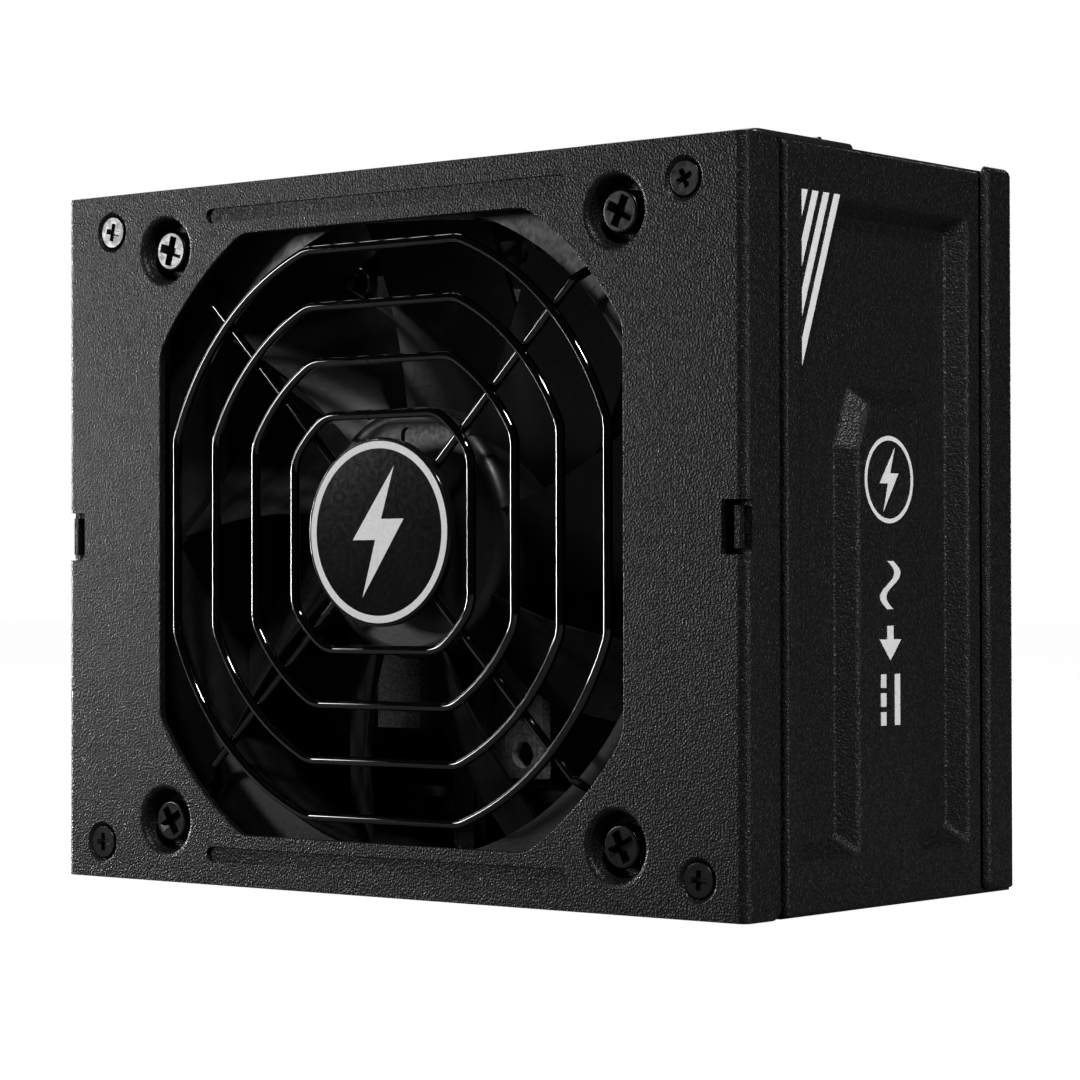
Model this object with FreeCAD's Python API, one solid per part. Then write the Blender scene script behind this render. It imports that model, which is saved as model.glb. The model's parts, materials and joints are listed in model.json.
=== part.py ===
import FreeCAD, Part

import math
import os

from FreeCAD import Vector

# A small-form-factor computer power supply, with its 92 mm fan and modular sockets.
# Millimetres. +Z points at the mains panel, -Y at the fan face, +X at the decorated side.
# The origin is the middle of the modular panel's outer face, under the middle of the box.

# Casing
WIDTH = 125.0
DEPTH = 63.5
HEIGHT = 100.0
HALF_W = WIDTH / 2
FRONT = -DEPTH / 2
BACK = DEPTH / 2
SHEET = 0.8
COVER_SHEET = 1.0
FOLD_R = 1.25
COVER_FLANGE = 7.55
COVER_HALF_W = 61.9
TRAY_FLANGE = 7.45
TRAY_LIP = 0.8
MID_Z = HEIGHT / 2

# Fan and its opening
FAN_SIZE = 92.0
FAN_THICK = 15.0
FAN_SCREW_OFFSET = 41.25
FAN_SCREW_TURNS = (-31, 16, -26, 25)
FAN_FRONT = FRONT + 5.5
FAN_REAR = FAN_FRONT + FAN_THICK
OPENING_R = 50.0
OPENING_HALF_W = 42.4
OPENING_HALF_H = 42.7
DIMPLE_R = 4.7
DIMPLE_FLOOR_R = 3.8
DIMPLE_RIM = 0.9
DIMPLE_FLOOR = 3.2
SLOT_DEPTH = 0.5
BORE_R = 45.0
TIP_R = 44.0
HUB_R = 17.5
HUB_FRONT = FRONT + 6.0
HUB_REAR = HUB_FRONT + 11.0
BLADE_COUNT = 9
FIRST_TIP_DEG = -10.4
BLADE_SWEEP_DEG = 9.5
BLADE_WIDTH = 14.0
SHAFT_R = 1.5

# Wire grille
WIRE_R = 0.65
RING_Y = FRONT + WIRE_R + 0.02
SPOKE_Y = RING_Y + 1.1
EYELET_Y = FRONT + 4.85
RINGS = ((39.5, 41.9), (31.6, 34.4), (23.8, 26.9), (16.2, 19.1))
BADGE_R = 13.0

# Cover screws, as (x, z), and their countersinks
COVER_HEAD_R = 2.3
COVER_SINK_R = 3.0
COVER_SCREW_TURNS = (12, -23, 0, 3)
COVER_SCREWS = ((-52.4, 94.6), (52.4, 94.6), (-54.4, 5.15), (54.4, 5.15))

# Side panels: the outline of the pressed recess, as (y, z)
PANEL_Y = (-23.6, 22.9)
PANEL_Z = (0.1, 99.6)
RECESS_DEPTH = 2.4
RECESS_SLOPE = 2.2
RECESS = ((-20.1, 7.2), (-20.1, 69.8), (-10.7, 93.1), (19.6, 93.1), (19.6, 7.2), (7.4, 7.2),
          (7.4, 66.6), (-4.6, 66.6), (-7.2, 60.4), (-7.2, 7.2))
RECESS_CORNER = 1.6
RECESS_FOOT = 0.6
RECESS_RIM = 1.2
LAP_X = (60.0, 60.8)
LAP_Y = (-30.0, 30.4)

# Mains panel: inlet, switch, vent and the four case screws
INLET_X = 34.1
INLET_Y = 0.5
INLET_FLANGE = (30.4, 23.8, 3.5)
INLET_BODY = (26.8, 19.6, 16.0)
INLET_CAVITY = (24.4, 16.4, 16.5)
PIN_PITCH = 7.0
SWITCH_X = 36.3
SWITCH_Y = 20.9
SWITCH_BEZEL = (10.5, 15.5, 2.6)
SWITCH_BODY = (9.0, 14.2, 15.0)
ROCKER_R = 6.4
ROCKER_AXIS_Z = HEIGHT + 1.3
ROCKER_HALF_TRAVEL = 11.0
CASE_SCREW_X = 56.5
CASE_SCREW_Y = 25.75
CASE_SCREW_R = 1.4
VENT_CELL = 3.8
VENT_PITCH = 4.7

# Circuit boards
BOARD = 1.6
BOARD_Y = (26.0, 26.0 + BOARD)
BOARD_Z = (2.5, 96.0)
BOARD_HALF_W = 58.0
STANDOFFS = ((-55.0, 8.0), (55.0, 8.0), (-55.0, 91.0), (55.0, 91.0))
MODULAR_Z = (12.0, 12.0 + BOARD)
SOCKET_BASE = 0.3
SOCKET_PITCH = 4.2
SOCKET_RIM = 1.7
# Socket rows: y of the row, then (columns, centre x) of each two-row socket
SOCKET_ROWS = ((17.0, ((9, -37.0), (5, -2.5), (4, 21.5), (4, 43.5))),
               (2.0, ((4, -48.5), (4, -27.0), (4, -5.5), (3, 13.9), (3, 31.3), (3, 48.7))))

X = Vector(1, 0, 0)
Y = Vector(0, 1, 0)
Z = Vector(0, 0, 1)


def block(x, y, z):
    """A box from (low, high) pairs."""
    return Part.makeBox(x[1] - x[0], y[1] - y[0], z[1] - z[0], Vector(x[0], y[0], z[0]))


def about(middle, size):
    """The (low, high) pair of a length about its middle."""
    return (middle - size / 2, middle + size / 2)


def rod(start, direction, radius, length):
    return Part.makeCylinder(radius, length, Vector(*start), direction)


def tube(start, direction, outer, inner, length):
    return rod(start, direction, outer, length).cut(rod(start, direction, inner, length))


def joined(shapes):
    return shapes[0].multiFuse(shapes[1:]).removeSplitter()


def straight_edges(shape, direction, keep):
    """Straight edges along a direction whose middle point passes the test."""
    found = []
    for edge in shape.Edges:
        if edge.Curve.TypeId != "Part::GeomLine":
            continue
        if abs(edge.tangentAt(edge.FirstParameter).dot(direction)) > 0.999 and keep(edge.CenterOfMass):
            found.append(edge)
    return found


def rounded(shape, radius, direction, keep=lambda middle: True):
    return shape.makeFillet(radius, straight_edges(shape, direction, keep))


def outline(points, to_space):
    """A closed polygon of 2-D points, each placed by to_space."""
    corners = [to_space(*point) for point in points]
    return Part.makePolygon(corners + corners[:1])


def prism(points, to_space, direction):
    return Part.Face(outline(points, to_space)).extrude(direction)


def route(points, radius):
    """A round lead along straight runs joined by tangent arcs."""
    places = [Vector(*point) for point in points]
    edges = []
    start = places[0]
    for before, corner, after in zip(places, places[1:], places[2:]):
        arrive = (corner - before).normalize()
        leave = (after - corner).normalize()
        back = 0.45 * min((corner - before).Length, (after - corner).Length)
        first = corner - arrive * back
        last = corner + leave * back
        half_turn = arrive.getAngle(leave) / 2
        bend = back / math.tan(half_turn)
        toward = (leave - arrive).normalize()
        middle = corner + toward * (bend / math.cos(half_turn) - bend)
        edges.append(Part.LineSegment(start, first).toShape())
        edges.append(Part.Arc(first, middle, last).toShape())
        start = last
    edges.append(Part.LineSegment(start, places[-1]).toShape())
    heading = places[1] - places[0]
    section = Part.Wire([Part.makeCircle(radius, places[0], heading)])
    return Part.Wire(edges).makePipeShell([section], True, False)


def save(node, *solids):
    shape = solids[0] if len(solids) == 1 else Part.makeCompound(list(solids))
    if not shape.isValid():
        raise ValueError(f"{node} isn't valid")
    shape.exportStep(f"parts/{node}.step")


# ---- screws -------------------------------------------------------------------------

def cross_recess(top, size, depth, turn=0.0):
    """Tapered cross slot in a screw head that faces -Y, turned about its middle."""
    half = size / 2
    slim = size * 0.15
    arms = []
    for wide, tall in ((half, slim), (slim, half)):
        corners = ((-wide, -tall), (wide, -tall), (wide, tall), (-wide, tall))
        mouth = outline(corners, lambda u, v: top + Vector(u, -0.05, v))
        foot = outline(corners, lambda u, v: top + Vector(u * 0.6, depth, v * 0.6))
        arm = Part.makeLoft([mouth, foot], True, True)
        arm.rotate(top, Y, turn)
        arms.append(arm)
    return arms


def pan_screw(x, y, z, head_r, head, shank_r, shank, turn=0.0):
    """A pan-head screw whose head rests on the plane y and points at -Y."""
    place = Vector(x, y, z)
    flat = rod(place, -Y, head_r, head)
    rim = [edge for edge in flat.Edges if abs(edge.CenterOfMass.y - (y - head)) < 1e-6]
    screw = joined([flat.makeFillet(0.35, rim), rod(place, Y, shank_r, shank)])
    return screw.cut(cross_recess(place - Y * head, head_r * 1.5, head * 0.7, turn))


def cover_screws():
    """Countersunk screws that hold the fan cover to the tray's ears."""
    head_top = FRONT + 0.1
    seat_y = FRONT + 0.45
    screws = []
    for (x, z), turn in zip(COVER_SCREWS, COVER_SCREW_TURNS):
        rim = rod((x, head_top, z), Y, COVER_HEAD_R, seat_y - head_top)
        brim = [edge for edge in rim.Edges if abs(edge.CenterOfMass.y - head_top) < 1e-6]
        cone = Part.makeCone(COVER_HEAD_R, 1.2, FRONT + COVER_SHEET - seat_y, Vector(x, seat_y, z), Y)
        shank = rod((x, seat_y, z), Y, 1.2, 5.5)
        screw = joined([rim.makeFillet(0.12, brim), cone, shank])
        screws.append(screw.cut(cross_recess(Vector(x, head_top, z), 2.65, 0.8, turn)))
    save("cover_screws", *screws)


def fan_screws():
    floor = FRONT + DIMPLE_FLOOR
    head_r, head = 2.9, 2.2
    screws = []
    for (x, z), turn in zip(fan_corners(), FAN_SCREW_TURNS):
        screws.append(pan_screw(x, floor, z, head_r, head, 1.9, 10.0, turn))
    save("fan_screws", *screws)


def fan_corners():
    return [(sx * FAN_SCREW_OFFSET, MID_Z + sz * FAN_SCREW_OFFSET) for sx in (-1, 1) for sz in (-1, 1)]


# ---- casing -------------------------------------------------------------------------

def fan_opening():
    disc = rod((0, FRONT - 1, MID_Z), Y, OPENING_R, 8)
    slab = block(about(0, 2 * OPENING_HALF_W), (FRONT - 1, FRONT + 7), about(MID_Z, 2 * OPENING_HALF_H))
    return rounded(disc.common(slab), 5.0, Y)


def stadium(middle, length, high, y):
    """A slot shape with round ends, long in X, through the (low, high) pair y."""
    x, z = middle
    reach = (length - high) / 2
    ends = [rod((x + side * reach, y[0], z), Y, high / 2, y[1] - y[0]) for side in (-1, 1)]
    return joined([block(about(x, 2 * reach), y, about(z, high))] + ends)


def fan_cover():
    """The plate over the fan, with side flanges and four pressed-in screw seats."""
    rear = FRONT + COVER_FLANGE
    shell = block((-COVER_HALF_W, COVER_HALF_W), (FRONT, rear), (0, HEIGHT))
    shell = rounded(shell, FOLD_R, Z, lambda middle: middle.y < FRONT + 0.1)
    inner_w = COVER_HALF_W - COVER_SHEET
    shell = shell.cut(block((-inner_w, inner_w), (FRONT + COVER_SHEET, rear + 1), (-1, HEIGHT + 1)))
    shell = rounded(shell, 1.8, X, lambda middle: middle.y > rear - 0.1)
    cups = []
    cutters = [fan_opening()]
    for x, z in fan_corners():
        place = Vector(x, FRONT, z)
        cups.append(Part.makeCone(DIMPLE_R + 1.4, DIMPLE_FLOOR_R + 1.0, DIMPLE_FLOOR, place + Y * COVER_SHEET, Y))
        cutters.append(Part.makeCone(DIMPLE_R, DIMPLE_FLOOR_R, DIMPLE_FLOOR, place, Y))
        cutters.append(rod((x, FRONT, z), Y, 2.2, 8))
    for x, z in COVER_SCREWS:
        cutters.append(Part.makeCone(COVER_SINK_R, COVER_SINK_R - 1.3, COVER_SHEET, Vector(x, FRONT, z), Y))
    for side in (-1, 1):
        cutters.append(stadium((0, MID_Z + side * 45.6), 66.0, 2.1, (FRONT - 1, FRONT + SLOT_DEPTH)))
        notch = (58.2, HALF_W + 1) if side > 0 else (-HALF_W - 1, -58.2)
        cutters.append(block(notch, (FRONT - 1, FRONT + 1.6), about(MID_Z, 7.0)))
    cover = joined([shell] + cups).cut(cutters)
    cover = cover.makeFillet(DIMPLE_RIM, front_rims(cover, lambda edge: is_circle(edge, DIMPLE_R)))
    cover = cover.makeFillet(0.12, front_rims(cover, lambda edge: is_circle(edge, COVER_SINK_R)))
    opening = [edge for edge in front_rims(cover, lambda edge: True)
               if abs(edge.CenterOfMass.x) < OPENING_HALF_W + 0.1
               and abs(edge.CenterOfMass.z - MID_Z) < OPENING_HALF_H + 0.1]
    save("fan_cover", cover.makeFillet(0.2, opening))


def is_circle(edge, radius):
    return edge.Curve.TypeId == "Part::GeomCircle" and abs(edge.Curve.Radius - radius) < 1e-3


def front_rims(cover, keep):
    """Edges that lie in the cover's front plane and pass the test."""
    flat = [edge for edge in cover.Edges if abs(edge.BoundBox.YMin - FRONT) < 1e-4]
    return [edge for edge in flat if abs(edge.BoundBox.YMax - FRONT) < 1e-4 and keep(edge)]


def recess_solid(outer_x):
    """The pressed recess as a solid with sloped walls, narrowing towards -X."""
    low_x = outer_x - RECESS_DEPTH
    rim = outline(RECESS, lambda y, z: Vector(outer_x, y, z))
    floor_face = Part.Face(outline(RECESS, lambda y, z: Vector(low_x, y, z)))
    floor = floor_face.makeOffset2D(-RECESS_SLOPE, 2, False, False, False)
    solid = Part.makeLoft([rim, floor.OuterWire], True, True)
    corners = [edge for edge in solid.Edges if edge.BoundBox.XLength > RECESS_DEPTH / 2]
    solid = solid.makeFillet(RECESS_CORNER, corners)
    foot = [edge for edge in solid.Edges if edge.BoundBox.XMax < low_x + 0.01]
    return solid.makeFillet(RECESS_FOOT, foot)


def side_panel():
    """The pressed side panel at +X, with stepped flanges that lap under its neighbours."""
    outer = block((HALF_W - SHEET, HALF_W), PANEL_Y, PANEL_Z)
    bump = recess_solid(HALF_W - SHEET)
    lap_z = (SHEET + 0.1, HEIGHT - SHEET - 0.1)
    front_lap = block(LAP_X, (LAP_Y[0], PANEL_Y[0] + SHEET), lap_z)
    front_step = block((LAP_X[0], HALF_W - 0.2), (PANEL_Y[0], PANEL_Y[0] + SHEET), lap_z)
    back_lap = block(LAP_X, (PANEL_Y[1] - SHEET, LAP_Y[1]), lap_z)
    back_step = block((LAP_X[0], HALF_W - 0.2), (PANEL_Y[1] - SHEET, PANEL_Y[1]), lap_z)
    hook = block(LAP_X, (LAP_Y[0] - 1.4, LAP_Y[0] + 1), about(MID_Z, 5.4))
    panel = joined([outer, bump, front_lap, front_step, back_lap, back_step, hook])
    panel = panel.cut(recess_solid(HALF_W))
    rim = [edge for edge in panel.Edges if edge.BoundBox.XMin > HALF_W - 0.01
           and PANEL_Y[0] + 1 < edge.CenterOfMass.y < PANEL_Y[1] - 1
           and PANEL_Z[0] + 1 < edge.CenterOfMass.z < PANEL_Z[1] - 1]
    panel = panel.makeFillet(RECESS_RIM, rim)
    panel = rounded(panel, 0.6, Z, lambda middle: middle.x > HALF_W - 0.1 and abs(middle.y) > 22)
    return rounded(panel, 0.6, Y, lambda middle: middle.x > HALF_W - 0.1 and abs(middle.z - MID_Z) > 49)


def vent_cells():
    """Hexagonal air holes of the mains panel, in a honeycomb."""
    cells = []
    row_step = VENT_PITCH * math.sqrt(3) / 2
    corner_r = VENT_CELL / math.sqrt(3)
    for row in range(-6, 7):
        shift = VENT_PITCH / 2 if row % 2 else 0.0
        for column in range(13):
            x = -50.0 + shift + column * VENT_PITCH
            y = row * row_step
            if abs(y) > 20 and x < -47:
                continue
            points = [(x + corner_r * math.cos(math.radians(60 * k + 30)),
                       y + corner_r * math.sin(math.radians(60 * k + 30))) for k in range(6)]
            cells.append(prism(points, lambda u, v: Vector(u, v, HEIGHT - 2), Z * 4))
    return cells


def sockets():
    """Every modular socket as (columns, x, y)."""
    return [(columns, x, y) for y, row in SOCKET_ROWS for columns, x in row]


def socket_size(columns):
    return (columns * SOCKET_PITCH + SOCKET_RIM, 2 * SOCKET_PITCH + SOCKET_RIM)


def base_tray():
    """The folded tray: back plate, mains panel, modular panel, side flanges and screw ears."""
    flange_y = BACK - TRAY_FLANGE
    inner_w = HALF_W - SHEET
    back = block((-HALF_W, HALF_W), (flange_y, BACK), (0.3, HEIGHT + TRAY_LIP))
    back = rounded(back, 1.3, X, lambda middle: middle.y < flange_y + 0.1 or middle.z > MID_Z)
    back = rounded(back, FOLD_R, Z, lambda middle: middle.y > BACK - 0.1)
    back = back.cut(block((-inner_w, inner_w), (flange_y - 1, BACK - SHEET), (-1, HEIGHT + 2)))
    back = back.cut(block((-inner_w, inner_w), (BACK - 2, BACK + 1), (HEIGHT, HEIGHT + 2)))
    edge_x = (-HALF_W + 1.1, HALF_W - 1.1)
    panel_y = (FRONT + COVER_SHEET + 0.1, BACK - SHEET)
    mains = block(edge_x, panel_y, (HEIGHT - SHEET, HEIGHT))
    modular = block(edge_x, panel_y, (0, SHEET))
    seat = block(edge_x, (BACK - SHEET, BACK), (0, 0.5))
    ear_y = (FRONT + COVER_SHEET, FRONT + COVER_SHEET + SHEET)
    ears = []
    cutters = []
    for x, z in COVER_SCREWS:
        ear_z = (z - 4.4, HEIGHT - 0.4) if z > MID_Z else (0.4, z + 4.4)
        ears.append(block(about(x, 9.0), ear_y, ear_z))
        cutters.append(rod((x, FRONT, z), Y, 1.25, 4))
    for sx in (-1, 1):
        for sy in (-1, 1):
            cutters.append(rod((sx * CASE_SCREW_X, sy * CASE_SCREW_Y, HEIGHT - 2), Z, CASE_SCREW_R, 4))
    cut_z = (HEIGHT - 3, HEIGHT + 3)
    cutters.append(block(about(INLET_X, INLET_BODY[0] + 0.4), about(INLET_Y, INLET_BODY[1] + 0.4), cut_z))
    flange_x = COVER_HALF_W - COVER_SHEET - 0.1
    for beside in ((-HALF_W, -flange_x), (flange_x, HALF_W)):
        cutters.append(block(beside, (FRONT, PANEL_Y[0]), (-1, HEIGHT + 1)))
    cutters.append(block(about(SWITCH_X, SWITCH_BODY[0] + 0.2), about(SWITCH_Y, SWITCH_BODY[1] + 0.2), cut_z))
    for columns, x, y in sockets():
        wide, tall = socket_size(columns)
        cutters.append(block(about(x, wide + 0.4), about(y, tall + 0.4), (-1, 2)))
    save("base_tray", joined([back, mains, modular, seat] + ears).cut(cutters + vent_cells()))


def side_panels():
    right = side_panel()
    save("side_panel_right", right)
    save("side_panel_left", right.mirror(Vector(0, 0, 0), X))


# ---- wire grille and badge ----------------------------------------------------------

def grille_ring(flat, arc_r):
    """A wire ring: a circle with four flats, its corners bent round."""
    disc = rod((0, RING_Y, MID_Z), Y, arc_r, 1)
    slab = block(about(0, 2 * flat), (RING_Y, RING_Y + 1), about(MID_Z, 2 * flat))
    form = rounded(disc.common(slab), 5.0, Y)
    face = next(face for face in form.Faces if abs(face.CenterOfMass.y - RING_Y) < 1e-6)
    path = face.OuterWire
    start = path.Edges[0].valueAt(path.Edges[0].FirstParameter)
    heading = path.Edges[0].tangentAt(path.Edges[0].FirstParameter)
    section = Part.Wire([Part.makeCircle(WIRE_R, start, heading)])
    return path.makePipeShell([section], True, False)


def grille_spoke(angle):
    """A radial wire that dips under the cover to an eyelet round a fan screw."""
    profile = ((6.0, SPOKE_Y), (46.4, SPOKE_Y), (49.8, EYELET_Y), (55.8, EYELET_Y))
    points = [Vector(radius, y, 0) for radius, y in profile]
    pieces = []
    for start, end in zip(points, points[1:]):
        pieces.append(rod(start, end - start, WIRE_R, (end - start).Length))
    pieces += [Part.makeSphere(WIRE_R, point) for point in points[1:3]]
    eyelet_at = Vector(FAN_SCREW_OFFSET * math.sqrt(2), EYELET_Y, 0)
    pieces.append(Part.makeTorus(2.95, WIRE_R, eyelet_at, Y))
    spoke = joined(pieces)
    spoke.rotate(Vector(0, 0, 0), Y, angle)
    spoke.translate(Z * MID_Z)
    return spoke


def fan_grille():
    rings = [grille_ring(flat, arc_r) for flat, arc_r in RINGS]
    spokes = [grille_spoke(angle) for angle in (45, 135, 225, 315)]
    bead_r = WIRE_R + 0.07
    welds = [rod((-2.4, RING_Y, MID_Z + flat), X, bead_r, 0.4) for flat, arc_r in RINGS[2:]]
    welds.append(rod((-RINGS[1][0], RING_Y, MID_Z), Z, bead_r, 0.4))
    save("fan_grille", joined(rings + spokes + welds))


def fan_badge():
    """A plain round medallion on the middle of the grille."""
    disc = rod((0, FRONT, MID_Z), Y, BADGE_R, SPOKE_Y - WIRE_R - FRONT - 0.04)
    rim = [edge for edge in disc.Edges if abs(edge.CenterOfMass.y - FRONT) < 1e-6]
    save("fan_badge", disc.makeFillet(0.3, rim))


# ---- fan ----------------------------------------------------------------------------

def fan_frame():
    """The square plastic frame, with its motor base on three struts."""
    body = block(about(0, FAN_SIZE), (FAN_FRONT, FAN_REAR), about(MID_Z, FAN_SIZE))
    body = rounded(body, 3.0, Y)
    waist = (FAN_FRONT + 3.0, FAN_REAR - 3.0)
    barrel = rod((0, waist[0], MID_Z), Y, BORE_R + 1.8, waist[1] - waist[0])
    around = block(about(0, FAN_SIZE + 2), waist, about(MID_Z, FAN_SIZE + 2)).cut(barrel)
    body = body.cut([around, rod((0, FAN_FRONT - 1, MID_Z), Y, BORE_R, FAN_THICK + 2)])
    base_y = FAN_REAR - 2.0
    base = rod((0, base_y, MID_Z), Y, 16.5, 2.0)
    struts = []
    for angle in (-30, 90, 210):
        strut = block((12, BORE_R + 0.8), (FAN_REAR - 2.5, FAN_REAR), about(0, 3.6))
        strut.rotate(Vector(0, 0, 0), Y, angle)
        strut.translate(Z * MID_Z)
        struts.append(strut)
    boss_y = FAN_FRONT + 3.75
    boss = rod((0, boss_y, MID_Z), Y, 4.8, FAN_REAR - boss_y)
    frame = joined([body, base, boss] + struts)
    holes = [rod((x, FAN_FRONT - 1, z), Y, 2.0, FAN_THICK + 2) for x, z in fan_corners()]
    pocket = rod((0, boss_y - 1, MID_Z), Y, 3.6, FAN_REAR - 1.0 - boss_y + 1)
    save("fan_frame", frame.cut(holes + [pocket]))


def blade_section(radius, tip_deg):
    """Outline of one blade where it crosses the plane at a radius from the shaft."""
    outward = (TIP_R - radius) / (TIP_R - HUB_R)
    lead = math.radians(tip_deg + BLADE_SWEEP_DEG * outward)
    chord = min(BLADE_WIDTH, 0.62 * radius)
    middle = lead + math.atan(chord / 2 / radius)
    radial = Vector(math.sin(middle), 0, math.cos(middle))
    across = Vector(math.cos(middle), 0, -math.sin(middle))
    lead_y = HUB_FRONT + 0.7
    trail_y = HUB_REAR + 0.2
    half_thick = 0.75
    faces = []
    for side in (-1, 1):
        points = []
        for step in range(5):
            t = step / 4
            camber = 1.6 * math.sin(math.pi * t)
            swell = half_thick * (0.55 + 0.45 * math.sin(math.pi * t))
            y = lead_y + (trail_y - lead_y) * t + camber + side * swell
            points.append(radial * radius + across * (chord * (t - 0.5)) + Y * y)
        faces.append(points)
    edges = []
    for points in faces:
        curve = Part.BSplineCurve()
        curve.interpolate(points)
        edges.append(curve.toShape())
    edges.append(Part.LineSegment(faces[0][-1], faces[1][-1]).toShape())
    edges.append(Part.LineSegment(faces[1][0], faces[0][0]).toShape())
    return Part.Wire([edges[0], edges[2], edges[1], edges[3]])


def fan_impeller():
    """Hub cup with nine swept blades."""
    cup = rod((0, HUB_FRONT, 0), Y, HUB_R, HUB_REAR - HUB_FRONT)
    rim = [edge for edge in cup.Edges if abs(edge.CenterOfMass.y - HUB_FRONT) < 1e-6]
    cup = cup.makeFillet(1.7, rim)
    inside = rod((0, HUB_FRONT + 1.4, 0), Y, 16.3, 20)
    mark = stadium((0, 0), 4.4, 2.2, (HUB_FRONT - 1, HUB_FRONT + 0.35))
    mark.rotate(Vector(0, 0, 0), Y, 90)
    mark.translate(Z * 12.4)
    keep = tube((0, FRONT, 0), Y, TIP_R, 16.8, 30)
    blades = []
    for index in range(BLADE_COUNT):
        tip_deg = FIRST_TIP_DEG + index * 360.0 / BLADE_COUNT
        sections = [blade_section(radius, tip_deg) for radius in (15.5, 24.0, 34.0, 46.0)]
        blades.append(Part.makeLoft(sections, True, False).common(keep))
    impeller = joined([cup.cut([inside, mark])] + blades)
    impeller.translate(Z * MID_Z)
    save("fan_impeller", impeller)


def fan_motor():
    """Shaft, clip, bearing, rotor and stator inside the hub."""
    inner_front = HUB_FRONT + 1.4
    save("rotor_yoke", cup_shape(16.2, 15.0, inner_front, 0.8, 8.0))
    save("rotor_magnet", tube((0, inner_front + 1.3, MID_Z), Y, 14.95, 13.4, 6.5))
    shaft = rod((0, inner_front + 0.8, MID_Z), Y, SHAFT_R, 11.2)
    groove = tube((0, inner_front + 11.0, MID_Z), Y, 2.0, 1.15, 0.4)
    save("fan_shaft", shaft.cut(groove))
    save("shaft_clip", tube((0, inner_front + 11.02, MID_Z), Y, 2.6, 1.17, 0.36))
    save("fan_bearing", tube((0, FAN_FRONT + 3.8, MID_Z), Y, 3.58, SHAFT_R + 0.03, 8.0))
    core = tube((0, FAN_FRONT + 5.0, MID_Z), Y, 7.4, 4.85, 5.0)
    poles = []
    coils = []
    for angle in (45, 135, 225, 315):
        neck = block((6.5, 12.0), (FAN_FRONT + 5.0, FAN_FRONT + 10.0), about(0, 3.0))
        shoe = tube((0, FAN_FRONT + 5.0, 0), Y, 12.8, 11.4, 5.0)
        shoe = shoe.common(block((8, 14), (FAN_FRONT, FAN_REAR), about(0, 12.0)))
        winding = block((7.7, 10.8), (FAN_FRONT + 4.2, FAN_FRONT + 10.8), about(0, 6.2))
        winding = rounded(winding, 1.0, X)
        winding = winding.cut(block((7, 12), (FAN_FRONT + 4.9, FAN_FRONT + 10.1), about(0, 3.2)))
        for shape, group in ((joined([neck, shoe]), poles), (winding, coils)):
            shape.rotate(Vector(0, 0, 0), Y, angle)
            shape.translate(Z * MID_Z)
            group.append(shape)
    save("fan_stator", joined([core] + poles))
    save("stator_coils", *coils)
    save("fan_circuit_board", tube((0, FAN_REAR - 3.6, MID_Z), Y, 14.2, 4.9, 1.0))


def cup_shape(outer, inner, front, floor, length):
    return rod((0, front, MID_Z), Y, outer, length).cut(rod((0, front + floor, MID_Z), Y, inner, length))


# ---- mains inlet and switch ---------------------------------------------------------

def inlet():
    """The recessed three-pin mains inlet, seen as a flange on the mains panel."""
    wide, deep, proud = INLET_FLANGE
    flange = block(about(INLET_X, wide), about(INLET_Y, deep), (HEIGHT, HEIGHT + proud))
    flange = rounded(flange, 1.5, Z)
    top = [edge for edge in flange.Edges if edge.BoundBox.ZMin > HEIGHT + proud - 1e-3]
    flange = flange.makeFillet(0.6, top)
    wide, deep, below = INLET_BODY
    body = block(about(INLET_X, wide), about(INLET_Y, deep), (HEIGHT - below, HEIGHT))
    wide, deep, sunk = INLET_CAVITY
    chamfer = 4.5
    u, v = wide / 2, deep / 2
    shape = ((-u, -v), (u, -v), (u, v - chamfer), (u - chamfer, v), (chamfer - u, v), (-u, v - chamfer))
    floor_z = HEIGHT + proud - sunk
    cavity = prism(shape, lambda x, y: Vector(INLET_X + x, INLET_Y + y, floor_z), Z * 30)
    pins = []
    slots = []
    for dx, dy in ((-PIN_PITCH, -2.0), (PIN_PITCH, -2.0), (0.0, 2.0)):
        x, y = INLET_X + dx, INLET_Y + dy
        blade = block(about(x, 2.0), about(y, 4.0), (floor_z - 9.0, floor_z + 13.0))
        slots.append(blade)
        tip = straight_edges(blade, X, lambda middle: middle.z > floor_z)
        pins.append(blade.makeChamfer(0.7, tip))
    save("inlet_body", joined([flange, body]).cut([cavity] + slots))
    save("inlet_pins", *pins)


def power_switch():
    """A small rocker switch: housing, rocker and two terminals."""
    wide, deep, proud = SWITCH_BEZEL
    bezel = block(about(SWITCH_X, wide), about(SWITCH_Y, deep), (HEIGHT, HEIGHT + proud))
    bezel = rounded(bezel, 1.0, Z)
    top = [edge for edge in bezel.Edges if edge.BoundBox.ZMin > HEIGHT + proud - 1e-3]
    bezel = bezel.makeFillet(0.5, top)
    body = block(about(SWITCH_X, SWITCH_BODY[0]), about(SWITCH_Y, SWITCH_BODY[1]),
                 (HEIGHT - SWITCH_BODY[2], HEIGHT))
    well = block(about(SWITCH_X, 8.1), about(SWITCH_Y, 2 * ROCKER_R + 0.5), (HEIGHT - 8.0, HEIGHT + 5))
    axle = rod((SWITCH_X - 4.95, SWITCH_Y, ROCKER_AXIS_Z), X, 0.85, 9.9)
    terminals = [block(about(SWITCH_X, 4.8), about(SWITCH_Y + dy, 0.8), (HEIGHT - 22.0, HEIGHT - 11.0))
                 for dy in (-4.0, 4.0)]
    save("switch_body", joined([bezel, body]).cut([well, axle] + terminals))
    save("switch_terminals", *terminals)
    save("switch_rocker", rocker())


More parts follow.
